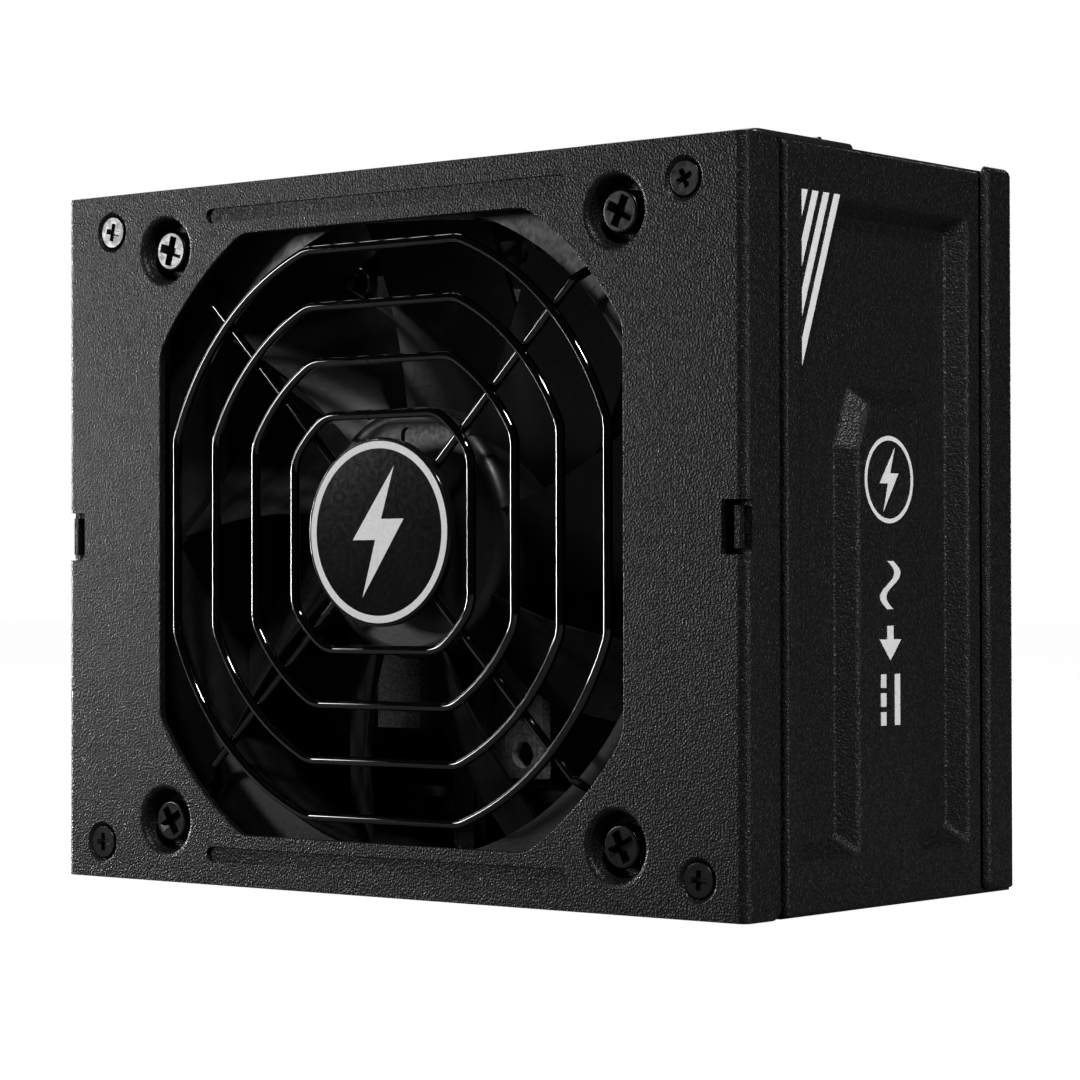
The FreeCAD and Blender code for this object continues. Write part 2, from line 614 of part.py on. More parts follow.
def rocker():
    """The rocker, at rest with its -Y end raised."""
    axis = Vector(SWITCH_X, SWITCH_Y, ROCKER_AXIS_Z)
    drum = rod(axis - X * 3.85, X, ROCKER_R, 7.7)
    tip = math.radians(38.0)
    reach, high = ROCKER_R * math.cos(tip), ROCKER_R * math.sin(tip)
    left = axis + Vector(-4.0, -reach - 3, high + 3)
    right = axis + Vector(-4.0, reach + 3, high + 3)
    tips = [axis + Vector(-4.0, side * reach, high) for side in (-1, 1)]
    saddle = axis + Vector(-4.0, 0, 1.5)
    edges = [Part.Arc(tips[0], saddle, tips[1]).toShape(),
             Part.LineSegment(tips[1], right).toShape(),
             Part.LineSegment(right, left).toShape(),
             Part.LineSegment(left, tips[0]).toShape()]
    above = Part.Face(Part.Wire(edges)).extrude(X * 8)
    below = block(about(SWITCH_X, 9), about(SWITCH_Y, 20), (ROCKER_AXIS_Z - 12, ROCKER_AXIS_Z - 3.2))
    paddle = drum.cut([above, below])
    ends = straight_edges(paddle, X, lambda middle: middle.z > ROCKER_AXIS_Z + 2.5)
    paddle = paddle.makeFillet(0.6, ends)
    axle = rod(axis - X * 4.85, X, 0.8, 9.7)
    shape = joined([paddle, axle])
    shape.rotate(axis, X, -ROCKER_HALF_TRAVEL)
    return shape


# ---- boards and modular sockets -----------------------------------------------------

def main_board():
    board = block(about(0, 2 * BOARD_HALF_W), BOARD_Y, BOARD_Z)
    switch_notch = block((26.0, 46.5), (20, 30), (77.0, 99.0))
    holes = [rod((x, 20, z), Y, 1.7, 10) for x, z in STANDOFFS]
    save("main_board", board.cut([switch_notch] + holes))
    sheet = block(about(0, 118), (BACK - SHEET - 1.6, BACK - SHEET - 1.3), (1.6, 98.0))
    save("insulation_sheet", sheet.cut([rod((x, 20, z), Y, 3.6, 14) for x, z in STANDOFFS]))
    pillars = []
    for x, z in STANDOFFS:
        length = BACK - SHEET - BOARD_Y[1]
        points = [(x + 3.0 * math.cos(math.radians(60 * k)), z + 3.0 * math.sin(math.radians(60 * k)))
                  for k in range(6)]
        pillar = prism(points, lambda u, v: Vector(u, BOARD_Y[1], v), Y * length)
        pillars.append(pillar.cut(rod((x, 20, z), Y, 1.45, 20)))
    save("board_standoffs", *pillars)
    save("board_screws", *[pan_screw(x, BOARD_Y[0], z, 2.6, 1.7, 1.4, 4.4) for x, z in STANDOFFS])


def modular_socket(columns, x, y):
    """A two-row power socket, open downwards, with one cell per contact."""
    wide, tall = socket_size(columns)
    body = block(about(x, wide), about(y, tall), (SOCKET_BASE, MODULAR_Z[0]))
    body = rounded(body, 0.6, Z)
    latch = block(about(x, 4.0), (y + tall / 2 - 0.1, y + tall / 2 + 0.15), (2.0, 6.0))
    cells = []
    for u, v in contact_places(columns, x, y):
        cell = block(about(u, 3.5), about(v, 3.5), (-1, MODULAR_Z[0] - 2.4))
        cells.append(rounded(cell, 0.7, Z, lambda middle: (middle.y - y) * (v - y) > (v - y) ** 2))
    return joined([body, latch]).cut(cells)


def contact_places(columns, x, y):
    first = x - (columns - 1) * SOCKET_PITCH / 2
    return [(first + column * SOCKET_PITCH, y + side * SOCKET_PITCH / 2)
            for column in range(columns) for side in (-1, 1)]


def modular_sockets():
    board = block(about(0, 2 * BOARD_HALF_W), (-5.0, BOARD_Y[0] - 0.1), MODULAR_Z)
    save("modular_board", board)
    names = {9: "eighteen_way_socket", 5: "ten_way_socket", 4: "eight_way_sockets", 3: "six_way_sockets"}
    for size, node in names.items():
        save(node, *[modular_socket(*socket) for socket in sockets() if socket[0] == size])
    contacts = []
    for socket in sockets():
        for u, v in contact_places(*socket):
            contacts.append(block(about(u, 1.1), about(v, 1.1), (SOCKET_BASE + 2.6, MODULAR_Z[0] - 2.4)))
    save("socket_contacts", *contacts)


# ---- parts on the main board --------------------------------------------------------

def standing(x, z, radius, tall):
    """A round part that stands on the main board, towards -Y."""
    return rod((x, BOARD_Y[0], z), -Y, radius, tall)


def can(x, z, radius, tall):
    """An electrolytic capacitor with a crimped groove and a rounded rim."""
    body = standing(x, z, radius, tall)
    top = BOARD_Y[0] - tall
    rim = [edge for edge in body.Edges if abs(edge.CenterOfMass.y - top) < 1e-6]
    body = body.makeFillet(radius * 0.08, rim)
    groove = Part.makeTorus(radius + 0.25, radius * 0.08, Vector(x, BOARD_Y[0] - 2.5, z), Y)
    return body.cut(groove)


def toroid(x, z, outer, inner, tall):
    ring = tube((x, BOARD_Y[0] - 1.5 - tall, z), Y, outer, inner, tall)
    return ring.makeFillet(1.2, [edge for edge in ring.Edges if edge.Curve.TypeId == "Part::GeomCircle"])


def wound_toroid(x, z, outer, inner, tall, turns):
    """Wire turns round a toroid, as flat bands with a gap between neighbours."""
    sleeve = toroid(x, z, outer + 1.3, inner - 1.3, tall + 2.6)
    sleeve.translate(Y * 1.3)
    sleeve = sleeve.cut(tube((x, BOARD_Y[0] - 1.6 - tall, z), Y, outer + 0.1, inner - 0.1, tall + 0.2))
    y = (BOARD_Y[0] - 3.0 - tall, BOARD_Y[0])
    bands = []
    for turn in range(turns):
        band = block((inner - 2, outer + 2), y, about(0, inner * 0.36))
        band.rotate(Vector(0, 0, 0), Y, 360.0 * turn / turns)
        band.translate(Vector(x, 0, z))
        bands.append(sleeve.common(band))
    return bands


def capacitors():
    save("bulk_capacitor", can(-42.0, 70.0, 12.5, 31.0))
    outputs = [can(x, z, 4.0, 15.0) for x in (17.0, 26.5, 36.0, 45.5) for z in (20.5, 30.5)]
    save("output_capacitors", *outputs)
    boxes = [block((x, x + wide), (BOARD_Y[0] - tall, BOARD_Y[0]), (z, z + deep))
             for x, z, wide, deep, tall in ((27.0, 44.0, 18.0, 8.5, 15.0), (49.5, 66.0, 8.0, 18.0, 17.0))]
    save("line_capacitors", *[rounded(shape, 0.8, Y) for shape in boxes])
    discs = []
    for x, z in ((53.0, 53.0), (53.0, 61.2), (24.0, 80.0)):
        disc = rod((x - 1.4, BOARD_Y[0] - 5.5, z), X, 4.0, 2.8)
        discs.append(joined([disc, rod((x, BOARD_Y[0] - 3.0, z), Y, 0.4, 3.0)]))
    save("safety_capacitors", *discs)


def inductors():
    save("boost_inductor_core", toroid(2.0, 80.5, 10.2, 5.0, 12.0))
    save("boost_inductor_winding", *wound_toroid(2.0, 80.5, 10.2, 5.0, 12.0, 18))
    chokes = ((26.5, 63.0), (42.0, 63.0))
    save("choke_cores", *[toroid(x, z, 6.4, 3.2, 9.0) for x, z in chokes])
    windings = []
    for x, z in chokes:
        windings += wound_toroid(x, z, 6.4, 3.2, 9.0, 12)
    save("choke_windings", *windings)
    save("resonant_inductor", rounded(block((14.0, 24.0), (8.0, BOARD_Y[0]), (41.0, 54.0)), 0.8, Y))


def transformers():
    """The main transformer, split into its ferrite core and its wound bobbin."""
    x = (-16.0, 12.0)
    z = (37.0, 66.0)
    y = (0.0, BOARD_Y[0] - 3.0)
    shell = block(x, y, about(51.5, 20.0))
    shell = shell.cut([block((-12.0, -6.0), (-1, 30), (30, 70)), block((2.0, 8.0), (-1, 30), (30, 70))])
    spine = block((-12.0, 8.0), (0.0, 4.0), about(51.5, 20.0))
    base = block((-12.0, 8.0), (19.0, 23.0), about(51.5, 20.0))
    save("transformer_core", joined([shell, spine, base]))
    bobbin = rounded(block((-11.8, 7.8), (4.2, 18.8), z), 2.0, Y)
    bobbin = bobbin.cut(block((-6.1, 2.1), (3, 20), about(51.5, 20.2)))
    feet = [block(about(-2.0, 20.0), (18.9, BOARD_Y[0]), about(end, 3.0)) for end in (39.5, 63.5)]
    save("transformer_winding", joined([bobbin] + feet))
    standby = rounded(block((-56.0, -42.0), (9.0, BOARD_Y[0]), (18.0, 32.0)), 0.8, Y)
    save("standby_transformer", standby)


def heatsinks():
    """Two bent aluminium plates whose flanges face the fan."""
    primary = joined([block((-21.4, -19.6), (-8.0, BOARD_Y[0]), (22.0, 88.0)),
                      block((-21.4, -13.2), (-8.0, -6.2), (22.0, 88.0))])
    slots = [block((-17.2, -12.0), (-9, -5), (z, z + 2.2)) for z in (41.0, 61.0, 81.0)]
    save("primary_heatsink", primary.cut(slots))
    secondary = joined([block((-6.4, -4.6), (-8.0, BOARD_Y[0]), (15.4, 33.0)),
                        block((-6.4, 9.6), (-8.0, -6.2), (15.4, 33.0))])
    holes = [rod((x, -10, z), Y, 1.9, 6) for x, z in ((-0.5, 27.0), (6.0, 18.8))]
    save("secondary_heatsink", secondary.cut(holes))
    packages = []
    for z in (28.0, 47.0, 66.0):
        package = block((-26.4, -21.5), (4.0, 20.0), about(z, 15.6))
        legs = [block(about(-24.0, 0.6), (19.9, BOARD_Y[0]), about(z + dz, 1.2)) for dz in (-5.4, 0, 5.4)]
        packages.append(joined([package] + legs))
    save("power_transistors", *packages)
    bridge = block((-40.0, -36.0), (6.0, 22.0), (33.0, 55.0))
    legs = [block(about(-38.0, 0.8), (21.9, BOARD_Y[0]), about(z, 1.2)) for z in (36, 41, 46, 51)]
    save("bridge_rectifier", joined([bridge] + legs))


def small_parts():
    save("power_relay", rounded(block((-56.0, -44.0), (10.0, BOARD_Y[0]), (36.0, 55.0)), 0.6, Y))
    fuse = rod((16.3, BOARD_Y[0] - 3.4, 70.5), Z, 2.6, 15.0)
    clips = [block(about(16.3, 5.0), (BOARD_Y[0] - 3.0, BOARD_Y[0]), about(z, 1.6)) for z in (72.0, 84.0)]
    save("mains_fuse", fuse)
    save("fuse_clips", *[clip.cut(fuse) for clip in clips])
    thermistor = joined([rod((-34.0, 17.0, 88.0), X, 5.5, 4.2), rod((-32.0, 19.0, 88.0), Y, 0.5, 7.0)])
    save("inrush_thermistor", thermistor)
    save("converter_board", block((54.2, 55.8), (4.0, BOARD_Y[0]), (20.0, 48.0)))
    chips = [block((51.4, 54.2), about(y, 8.0), about(z, 8.0)) for y in (9.5, 19.5) for z in (27.0, 41.0)]
    save("converter_chips", *chips)


def leads():
    """Insulated leads inside the casing."""
    floor_z = HEIGHT + INLET_FLANGE[2] - INLET_CAVITY[2]
    pin_z = floor_z - 9.0
    switch_z = HEIGHT - 22.0
    line = route(((INLET_X + PIN_PITCH, INLET_Y - 2, pin_z), (INLET_X + PIN_PITCH, INLET_Y - 2, pin_z - 7),
                  (SWITCH_X + 3, SWITCH_Y - 10, switch_z - 8), (SWITCH_X, SWITCH_Y - 4, switch_z - 6),
                  (SWITCH_X, SWITCH_Y - 4, switch_z)), 1.1)
    neutral = route(((INLET_X - PIN_PITCH, INLET_Y - 2, pin_z), (INLET_X - PIN_PITCH, INLET_Y - 2, pin_z - 6),
                     (INLET_X - 12, INLET_Y + 7, pin_z - 6), (INLET_X - 13, BOARD_Y[0] - 6, pin_z - 3),
                     (INLET_X - 13, BOARD_Y[0], pin_z - 3)), 1.1)
    save("mains_leads", line, neutral)
    pair = []
    for shift in (0.0, 1.7):
        pair.append(route(((-16.7, FAN_REAR - 1.2, 50.0 - shift), (-23.5, FAN_REAR - 0.6, 48.5 - shift),
                           (-30.5, -6.0, 42.0 - shift), (-32.0, 6.0, 30.0 - shift),
                           (-33.0, 15.0, 24.0 - shift), (-33.0, BOARD_Y[0] - 3.4, 24.0 - shift)), 0.75))
    save("fan_lead", *pair)
    save("fan_connector", block((-35.5, -30.5), (BOARD_Y[0] - 3.4, BOARD_Y[0]), (19.5, 26.5)))


os.makedirs("parts", exist_ok=True)
fan_cover()
base_tray()
side_panels()
cover_screws()
fan_grille()
fan_badge()
fan_frame()
fan_impeller()
fan_motor()
fan_screws()
inlet()
power_switch()
main_board()
modular_sockets()
capacitors()
inductors()
transformers()
heatsinks()
small_parts()
leads()
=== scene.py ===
import json
import math

import bmesh
import bpy
from mathutils import Matrix, Vector


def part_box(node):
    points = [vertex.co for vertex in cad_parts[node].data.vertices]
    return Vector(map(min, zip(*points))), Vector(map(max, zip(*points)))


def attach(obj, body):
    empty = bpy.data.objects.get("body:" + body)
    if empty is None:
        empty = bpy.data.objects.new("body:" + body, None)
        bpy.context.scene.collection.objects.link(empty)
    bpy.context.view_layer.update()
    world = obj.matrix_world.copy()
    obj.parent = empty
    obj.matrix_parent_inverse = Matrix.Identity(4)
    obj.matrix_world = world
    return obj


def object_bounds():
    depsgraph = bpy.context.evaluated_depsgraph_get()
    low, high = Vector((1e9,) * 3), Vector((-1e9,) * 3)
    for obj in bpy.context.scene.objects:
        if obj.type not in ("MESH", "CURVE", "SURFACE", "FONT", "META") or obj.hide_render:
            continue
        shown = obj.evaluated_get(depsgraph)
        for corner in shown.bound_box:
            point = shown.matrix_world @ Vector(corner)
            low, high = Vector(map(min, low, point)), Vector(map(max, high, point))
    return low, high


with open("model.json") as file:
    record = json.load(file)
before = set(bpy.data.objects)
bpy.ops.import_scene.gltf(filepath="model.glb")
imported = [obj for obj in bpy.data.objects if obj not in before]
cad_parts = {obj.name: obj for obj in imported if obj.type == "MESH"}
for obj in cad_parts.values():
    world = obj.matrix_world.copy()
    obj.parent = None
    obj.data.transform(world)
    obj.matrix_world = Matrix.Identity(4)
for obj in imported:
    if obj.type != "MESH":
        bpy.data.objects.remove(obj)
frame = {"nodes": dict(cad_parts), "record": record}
cad_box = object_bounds()

MM = 0.001

# The faces that the printed and raised marks lie on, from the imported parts
COVER_LOW, COVER_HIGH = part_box("fan_cover")
BADGE_LOW, BADGE_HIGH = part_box("fan_badge")
SIDE_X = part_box("side_panel_right")[1].x
MID_Z = (COVER_LOW.z + COVER_HIGH.z) / 2
INK = 0.03 * MM

# Camera: lens and film width in mm, place in metres, and its turns in degrees
LENS = 114.45
FILM = 36.0
CAMERA_PLACE = (0.31478, -0.38217, 0.04234)
CAMERA_PAN = 39.234
CAMERA_TILT = 90.795
CAMERA_ROLL = -0.099

# Each softbox: degrees round from the fan face, degrees up, metres away, size in metres, watts
SOFTBOXES = {
    "key_card": (-46.5, 9.3, 0.56, (0.08, 0.1), 0.75),
    "left_graze": (-82, 10, 0.28, (0.03, 0.2), 0.16),
    "wire_strip": (-86, 2, 0.6, (0.04, 0.14), 2.2),
    "high_fill": (50, 50, 0.8, (0.08, 0.08), 4.5),
    "right_strip": (99, 2, 0.8, (0.05, 0.5), 2.4),
    "back_softbox": (-165, 10, 0.9, (0.4, 0.4), 3.0),
    "back_top_softbox": (-120, 50, 0.9, (0.5, 0.5), 3.0),
}
ROOM_GLOW = 0.02
FLOOR_GLOW = 0.98
FLOOR_SIZE = 3.0
FLOOR_DROP = 0.0002

# Printed marks, in millimetres, as (x, z) on the badge and (y, z) on the side
RING_STEPS = 96
WAVE_STEPS = 24
BADGE_RING_INSETS = (0.5, 1.5)
BADGE_BOLT = 18.0
STRIPES = 4
STRIPE_TOP = 93.5
STRIPE_LEFT = -20.0
STRIPE_PITCH = 2.45
STRIPE_WIDE = 1.35
STRIPE_SLOPE = 8.45 / 22.1
MEDALLION_MIDDLE = (0.05, 56.6)
MEDALLION_RADII = (5.8, 5.2)
MEDALLION_BOLT = 8.6
SIGNS_Y = 0.25
SIGN_HALF = 0.75
WAVE_TOP = 45.8
WAVE_TALL = 6.4
WAVE_SWING = 1.7
ARROW_TOP = 37.2
ARROW_NECK = 35.4
ARROW_TIP = 32.6
ARROW_HEAD = 2.6
BARS_TOP = 30.8
BAR_FOOT = 24.0
BAR_NEAR = 1.0
BAR_FAR = 2.3
DASHES = 3
DASH_PITCH = 2.5
DASH_TALL = 1.8


# ---- camera, light and floor --------------------------------------------------------

def add_camera():
    camera = bpy.data.cameras.new("photo_camera")
    camera.lens = LENS
    camera.sensor_width = FILM
    camera.clip_start = 0.01
    camera.clip_end = 20.0
    obj = bpy.data.objects.new("photo_camera", camera)
    bpy.context.scene.collection.objects.link(obj)
    obj.location = CAMERA_PLACE
    pan = Matrix.Rotation(math.radians(CAMERA_PAN), 4, "Z")
    tilt = Matrix.Rotation(math.radians(CAMERA_TILT), 4, "X")
    roll = Matrix.Rotation(math.radians(CAMERA_ROLL), 4, "Z")
    obj.rotation_euler = (pan @ tilt @ roll).to_euler()
    bpy.context.scene.camera = obj


def add_softbox(name, around, above, away, size, power):
    """A softbox that faces the middle of the object."""
    turn, rise = math.radians(around), math.radians(above)
    middle = Vector((0.0, 0.0, MID_Z))
    way = Vector((math.sin(turn) * math.cos(rise), -math.cos(turn) * math.cos(rise), math.sin(rise)))
    light = bpy.data.lights.new(name, "AREA")
    light.shape = "RECTANGLE"
    light.size, light.size_y = size
    light.energy = power
    obj = bpy.data.objects.new(name, light)
    bpy.context.scene.collection.objects.link(obj)
    obj.location = middle + away * way
    obj.rotation_euler = way.to_track_quat("Z", "Y").to_euler()


def add_background(tree, colour, strength):
    made = tree.nodes.new("ShaderNodeBackground")
    made.inputs["Color"].default_value = (*colour, 1)
    made.inputs["Strength"].default_value = strength
    return made


def add_studio():
    """White backdrop for the camera, a dim room for everything else, and the softboxes."""
    world = bpy.data.worlds.new("studio")
    bpy.context.scene.world = world
    world.use_nodes = True
    tree = world.node_tree
    tree.nodes.clear()
    output = tree.nodes.new("ShaderNodeOutputWorld")
    mix = tree.nodes.new("ShaderNodeMixShader")
    path = tree.nodes.new("ShaderNodeLightPath")
    room = add_background(tree, (0.95, 0.98, 1.0), ROOM_GLOW)
    backdrop = add_background(tree, (1, 1, 1), 1.0)
    tree.links.new(path.outputs["Is Camera Ray"], mix.inputs["Fac"])
    tree.links.new(room.outputs[0], mix.inputs[1])
    tree.links.new(backdrop.outputs[0], mix.inputs[2])
    tree.links.new(mix.outputs[0], output.inputs["Surface"])
    for name, values in SOFTBOXES.items():
        add_softbox(name, *values)
    bpy.context.scene.view_settings.view_transform = "Standard"


def add_floor():
    mesh = bpy.data.meshes.new("floor")
    build = bmesh.new()
    bmesh.ops.create_grid(build, x_segments=8, y_segments=8, size=FLOOR_SIZE)
    build.to_mesh(mesh)
    build.free()
    obj = bpy.data.objects.new("floor", mesh)
    bpy.context.scene.collection.objects.link(obj)
    obj.location.z = cad_box[0][2] - FLOOR_DROP
    return obj


# ---- materials ----------------------------------------------------------------------

class Paint:
    """A node material being built: one Principled shader, with helpers for its textures."""

    def __init__(self, name, colour, roughness, metallic=0.0, **sockets):
        self.material = bpy.data.materials.new(name)
        self.material.use_nodes = True
        self.tree = self.material.node_tree
        self.shader = self.tree.nodes["Principled BSDF"]
        self.place = self.tree.nodes.new("ShaderNodeTexCoord").outputs["Object"]
        self.shader.inputs["Base Color"].default_value = (*colour, 1)
        self.shader.inputs["Roughness"].default_value = roughness
        self.shader.inputs["Metallic"].default_value = metallic
        for socket, value in sockets.items():
            self.shader.inputs[socket.replace("_", " ")].default_value = value

    def node(self, kind, **values):
        made = self.tree.nodes.new(kind)
        for key, value in values.items():
            made.inputs[key.replace("_", " ")].default_value = value
        return made

    def link(self, output, socket):
        self.tree.links.new(output, socket)

    def noise(self, scale, detail=2.0, roughness=0.5, stretch=None):
        made = self.node("ShaderNodeTexNoise", Scale=scale, Detail=detail, Roughness=roughness)
        self.link(self.stretched(stretch), made.inputs["Vector"])
        return made.outputs["Fac"]

    def cells(self, scale):
        made = self.node("ShaderNodeTexVoronoi", Scale=scale)
        self.link(self.place, made.inputs["Vector"])
        return made.outputs["Color"]

    def stretched(self, stretch):
        if stretch is None:
            return self.place
        made = self.node("ShaderNodeMapping")
        made.inputs["Scale"].default_value = stretch
        self.link(self.place, made.inputs["Vector"])
        return made.outputs["Vector"]

    def ramp(self, source, stops):
        """A colour ramp with (position, grey or colour) stops."""
        made = self.tree.nodes.new("ShaderNodeValToRGB")
        elements = made.color_ramp.elements
        while len(elements) < len(stops):
            elements.new(0.5)
        for element, (position, value) in zip(elements, stops):
            element.position = position
            element.color = (value, value, value, 1) if isinstance(value, float) else (*value, 1)
        self.link(source, made.inputs["Fac"])
        return made.outputs["Color"]

    def colour(self, source, stops):
        self.link(self.ramp(source, stops), self.shader.inputs["Base Color"])

    def gloss(self, source, low, high):
        self.link(self.ramp(source, ((0.3, low), (0.7, high))), self.shader.inputs["Roughness"])

    def relief(self, source, depth, strength=1.0, under=None):
        bump = self.node("ShaderNodeBump", Strength=strength, Distance=depth)
        self.link(source, bump.inputs["Height"])
        if under is not None:
            self.link(under, bump.inputs["Normal"])
        self.link(bump.outputs["Normal"], self.shader.inputs["Normal"])
        return bump.outputs["Normal"]


def powder_coat():
    """Black powder coat: its fine grains are a little lighter and glossier than the dips between."""
    paint = Paint("powder_coat", (0.006, 0.006, 0.0063), 0.4, Specular_IOR_Level=0.3)
    grain = paint.noise(3400.0, 0.5)
    paint.colour(grain, ((0.45, 0.001), (0.68, 0.016)))
    paint.gloss(grain, 0.52, 0.26)
    swell = paint.relief(paint.noise(1600.0), 0.00004, 0.6)
    paint.relief(grain, 0.0002, 0.7, swell)
    return paint.material


def black_chrome():
    """Smooth dark plating under a clear coat, for the grille's wires."""
    paint = Paint("black_chrome", (0.03, 0.03, 0.032), 0.1, 1.0, Coat_Weight=1.0, Coat_Roughness=0.04)
    paint.colour(paint.noise(300.0), ((0.3, 0.02), (0.7, 0.035)))
    paint.gloss(paint.noise(900.0), 0.02, 0.035)
    paint.relief(paint.noise(500.0), 0.000004, 0.3)
    return paint.material


def moulded(name, grey, rough, grain, depth, tint=(1, 1, 1)):
    """Moulded plastic: a grey level with small changes, and a fine spark-eroded grain."""
    low, high = [tuple(grey * share * part for part in tint) for share in (0.8, 1.25)]
    paint = Paint(name, low, rough)
    paint.colour(paint.noise(140.0, 3.0), ((0.3, low), (0.7, high)))
    paint.gloss(paint.noise(grain * 0.6), rough * 0.85, rough * 1.2)
    paint.relief(paint.noise(grain, 2.0), depth, 0.6)
    return paint.material


def metal(name, colour, rough):
    """Bare or plated metal, a little darker in patches."""
    paint = Paint(name, colour, rough, 1.0)
    groove_shade = tuple(part * 0.88 for part in colour)
    paint.colour(paint.noise(260.0, 3.0), ((0.25, groove_shade), (0.75, colour)))
    grain = paint.noise(900.0, 3.0, 0.6)
    paint.gloss(grain, rough * 0.75, rough * 1.3)
    paint.relief(grain, rough * 0.00003, 0.5)
    return paint.material


def spangled(name):
    """Mill-finish sheet with a coarse bright grain."""
    paint = Paint(name, (0.7, 0.7, 0.7), 0.5, 1.0)
    paint.colour(paint.cells(3200.0), ((0.1, 0.5), (0.9, 1.0)))
    paint.gloss(paint.noise(1500.0), 0.45, 0.6)
    paint.relief(paint.noise(1800.0, 3.0, 0.7), 0.00015, 1.0)
    return paint.material


def solder_mask():
    """Dark lacquer over copper tracks."""
    paint = Paint("solder_mask", (0.01, 0.011, 0.012), 0.3, Coat_Weight=0.4, Coat_Roughness=0.15)
    tracks = paint.noise(500.0, 0.0, 0.5, (1.0, 1.0, 0.25))
    paint.colour(tracks, ((0.44, 0.007), (0.5, 0.018)))
    paint.gloss(paint.noise(300.0), 0.22, 0.38)
    paint.relief(tracks, 0.00003, 0.6)
    return paint.material


def wound_wire(name, colour):
    """Enamelled copper, with the ribs of single turns and painted shade darkening the grooves between
    them.
    """
    paint = Paint(name, colour, 0.28, 0.85, Coat_Weight=0.6, Coat_Roughness=0.12)
    wave = paint.node("ShaderNodeTexWave", Scale=450.0, Distortion=0.6)
    paint.link(paint.place, wave.inputs["Vector"])
    # Painted shade: the colour drops to about a third in the grooves between turns, where the bump is
    # lowest.
    groove_shade = tuple(part * 0.35 for part in colour)
    paint.colour(wave.outputs["Fac"], ((0.1, groove_shade), (0.6, colour)))
    paint.gloss(paint.noise(400.0), 0.2, 0.34)
    paint.relief(wave.outputs["Fac"], 0.00015, 0.8)
    return paint.material


def print_ink():
    """White silk-screen ink."""
    paint = Paint("print_ink", (0.88, 0.88, 0.87), 0.5)
    paint.colour(paint.noise(1800.0, 2.0), ((0.35, 0.9), (0.6, 0.98)))
    paint.gloss(paint.noise(900.0), 0.42, 0.58)
    paint.relief(paint.noise(2600.0, 2.0), 0.00004, 0.6)
    return paint.material


def floor_material():
    """White sweep, which glows for the camera only, so that it meets the backdrop without a line."""
    paint = Paint("studio_floor", (0.12, 0.12, 0.12), 0.8)
    paint.colour(paint.noise(3.0), ((0.3, 0.1), (0.7, 0.14)))
    path = paint.tree.nodes.new("ShaderNodeLightPath")
    glow = paint.node("ShaderNodeMath")
    glow.operation = "MULTIPLY"
    glow.inputs[1].default_value = FLOOR_GLOW
    paint.link(path.outputs["Is Camera Ray"], glow.inputs[0])
    paint.shader.inputs["Emission Color"].default_value = (1, 1, 1, 1)
    paint.link(glow.outputs[0], paint.shader.inputs["Emission Strength"])
    return paint.material


def slot_materials():
    return {
        "powder_coat": powder_coat(),
        "grille_paint": black_chrome(),
        "badge_plastic": moulded("badge_plastic", 0.006, 0.1, 2200.0, 0.000003),
        "dark_screws": metal("screw_steel", (0.05, 0.05, 0.052), 0.26),
        "steel_screws": metal("zinc_plate", (0.42, 0.42, 0.43), 0.16),
        "fan_frame_plastic": moulded("fan_frame_plastic", 0.006, 0.42, 1700.0, 0.00003),
        "fan_blade_plastic": moulded("fan_blade_plastic", 0.01, 0.42, 2600.0, 0.00002),
        "bright_steel": metal("bright_steel", (0.62, 0.62, 0.63), 0.25),
        "magnet": moulded("bonded_magnet", 0.03, 0.6, 1200.0, 0.00004),
        "bronze": metal("sintered_bronze", (0.55, 0.38, 0.2), 0.45),
        "copper_wire": wound_wire("copper_turns", (0.72, 0.3, 0.12)),
        "green_board": solder_mask(),
        "inlet_plastic": moulded("inlet_plastic", 0.014, 0.3, 1300.0, 0.00002),
        "rocker_plastic": moulded("rocker_plastic", 0.016, 0.26, 900.0, 0.00001),
        "nickel": metal("nickel_plate", (0.72, 0.7, 0.66), 0.2),
        "socket_plastic": moulded("socket_plastic", 0.016, 0.5, 1500.0, 0.00003),
        "clear_sheet": moulded("polyester_sheet", 0.03, 0.3, 400.0, 0.00001),
        "brass": metal("brass", (0.78, 0.58, 0.28), 0.28),
        "can_sleeve": moulded("can_sleeve", 0.03, 0.25, 300.0, 0.00001, (0.7, 0.8, 1.0)),
        "film_box": moulded("film_box", 0.12, 0.35, 900.0, 0.00002),
        "ceramic": moulded("dipped_ceramic", 0.12, 0.35, 700.0, 0.00003, (0.6, 0.8, 1.0)),
        "ferrite": moulded("ferrite", 0.06, 0.55, 1500.0, 0.00005),
        "tape": moulded("winding_tape", 0.06, 0.32, 250.0, 0.00002),
        "aluminium": spangled("mill_aluminium"),
        "chip_epoxy": moulded("chip_epoxy", 0.03, 0.5, 1800.0, 0.00003),
        "relay_case": moulded("relay_case", 0.04, 0.4, 1200.0, 0.00002, (0.7, 0.8, 1.0)),
        "fuse_ceramic": moulded("fuse_ceramic", 0.7, 0.3, 700.0, 0.00001, (1.0, 0.97, 0.9)),
        "lead_insulation": moulded("lead_insulation", 0.016, 0.45, 900.0, 0.00001),
    }


def dress_frame(materials):
    """Give every CAD node the material of its slot."""
    slots = {part["node"]: part["material_slot"] for part in frame["record"]["subparts"]}
    for name, node in frame["nodes"].items():
        node.data.materials.clear()
        node.data.materials.append(materials[slots[name]])


# ---- printed marks ------------------------------------------------------------------

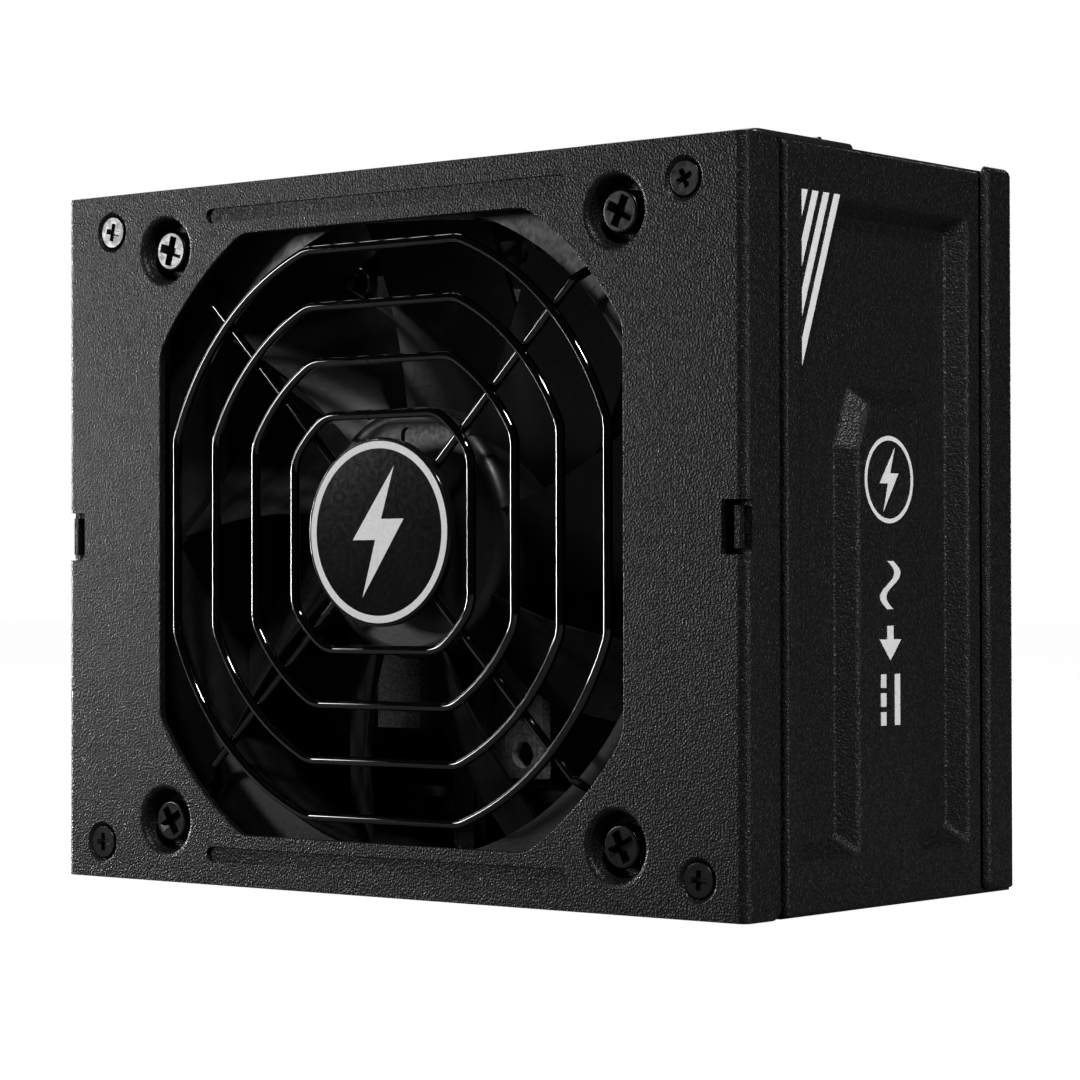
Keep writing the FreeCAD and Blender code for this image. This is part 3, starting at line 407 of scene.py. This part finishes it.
def flat_piece(name, outlines, to_space, material):
    """A thin printed shape on the housing: closed 2-D outlines, filled and given the ink's thickness."""
    build = bmesh.new()
    for points in outlines:
        front = [build.verts.new(to_space(u, v, INK)) for u, v in points]
        rear = [build.verts.new(to_space(u, v, 0.0)) for u, v in points]
        build.faces.new(front)
        build.faces.new(rear[::-1])
        for i in range(len(points)):
            j = (i + 1) % len(points)
            build.faces.new((front[j], front[i], rear[i], rear[j]))
    bmesh.ops.recalc_face_normals(build, faces=build.faces)
    bmesh.ops.triangulate(build, faces=[face for face in build.faces if len(face.verts) > 4])
    mesh = bpy.data.meshes.new(name)
    build.to_mesh(mesh)
    build.free()
    obj = bpy.data.objects.new(name, mesh)
    bpy.context.scene.collection.objects.link(obj)
    mesh.materials.append(material)
    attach(obj, "housing")


def ring_outlines(middle, outer, inner):
    """A ring as narrow four-sided pieces, so that it fills without a seam."""
    pieces = []
    for i in range(RING_STEPS):
        a0, a1 = (math.tau * k / RING_STEPS for k in (i, i + 1))
        pieces.append([(middle[0] + r * math.cos(a), middle[1] + r * math.sin(a))
                       for r, a in ((inner, a0), (outer, a0), (outer, a1), (inner, a1))])
    return pieces


def bolt_outline(middle, high):
    """A plain lightning bolt, high tall, about its middle."""
    shape = ((0.16, 0.5), (-0.26, -0.06), (-0.03, -0.06), (-0.16, -0.5), (0.26, 0.1), (0.03, 0.1))
    return [(middle[0] + u * high, middle[1] + v * high) for u, v in shape]


def wave_outline():
    """One turn of a thick sine wave, down along one edge and back up the other."""
    points = []
    for sign in (1, -1):
        for i in range(WAVE_STEPS + 1):
            t = i / WAVE_STEPS if sign > 0 else 1 - i / WAVE_STEPS
            swing = WAVE_SWING * math.sin(math.tau * t)
            points.append((SIGNS_Y + swing + sign * SIGN_HALF, WAVE_TOP - WAVE_TALL * t))
    return points


def arrow_outline():
    """An arrow that points down."""
    half = ((SIGN_HALF, ARROW_TOP), (SIGN_HALF, ARROW_NECK), (ARROW_HEAD, ARROW_NECK))
    right = [(SIGNS_Y + u, v) for u, v in half]
    left = [(SIGNS_Y - u, v) for u, v in half]
    return [left[0]] + right + [(SIGNS_Y, ARROW_TIP)] + left[:0:-1]


def bar_outline(left, right, top, foot):
    return [(SIGNS_Y + left, top), (SIGNS_Y + right, top), (SIGNS_Y + right, foot), (SIGNS_Y + left, foot)]


def stripe_outline(k):
    """A slanted bar that ends on the upright line where the first one starts."""
    start = STRIPE_LEFT + k * STRIPE_PITCH
    foot = STRIPE_TOP - (start - STRIPE_LEFT) / STRIPE_SLOPE
    tip = foot - STRIPE_WIDE / STRIPE_SLOPE
    top_edge = [(start, STRIPE_TOP), (start + STRIPE_WIDE, STRIPE_TOP)]
    return top_edge + ([(STRIPE_LEFT, tip)] if k == 0 else [(STRIPE_LEFT, tip), (STRIPE_LEFT, foot)])


def on_front(u, v, out):
    return (u * MM, BADGE_LOW.y - out, MID_Z + v * MM)


def on_side(y, z, out):
    return (SIDE_X + out, y * MM, z * MM)


def front_badge(ink):
    """A ring and a lightning bolt."""
    radius = (BADGE_HIGH.x - BADGE_LOW.x) / 2 / MM
    ring = ring_outlines((0, 0), *(radius - inset for inset in BADGE_RING_INSETS))
    bolt = bolt_outline((0, 0), BADGE_BOLT)
    flat_piece("badge_print", ring + [bolt], on_front, ink)


def side_stripes(ink):
    bars = [stripe_outline(k) for k in range(STRIPES)]
    flat_piece("side_stripes", bars, on_side, ink)


def side_marks(ink):
    """A ringed lightning bolt, and below it the signs for AC in and DC out."""
    ring = ring_outlines(MEDALLION_MIDDLE, *MEDALLION_RADII)
    bolt = bolt_outline(MEDALLION_MIDDLE, MEDALLION_BOLT)
    flat_piece("side_badge_print", ring + [bolt], on_side, ink)
    bars = [bar_outline(BAR_NEAR, BAR_FAR, BARS_TOP, BAR_FOOT)]
    for k in range(DASHES):
        top = BARS_TOP - DASH_PITCH * k
        bars.append(bar_outline(-BAR_FAR, -BAR_NEAR, top, top - DASH_TALL))
    signs = [wave_outline(), arrow_outline()] + bars
    flat_piece("side_signs", signs, on_side, ink)


def main():
    add_camera()
    add_studio()
    add_floor().data.materials.append(floor_material())
    dress_frame(slot_materials())
    ink = print_ink()
    front_badge(ink)
    side_stripes(ink)
    side_marks(ink)


main()
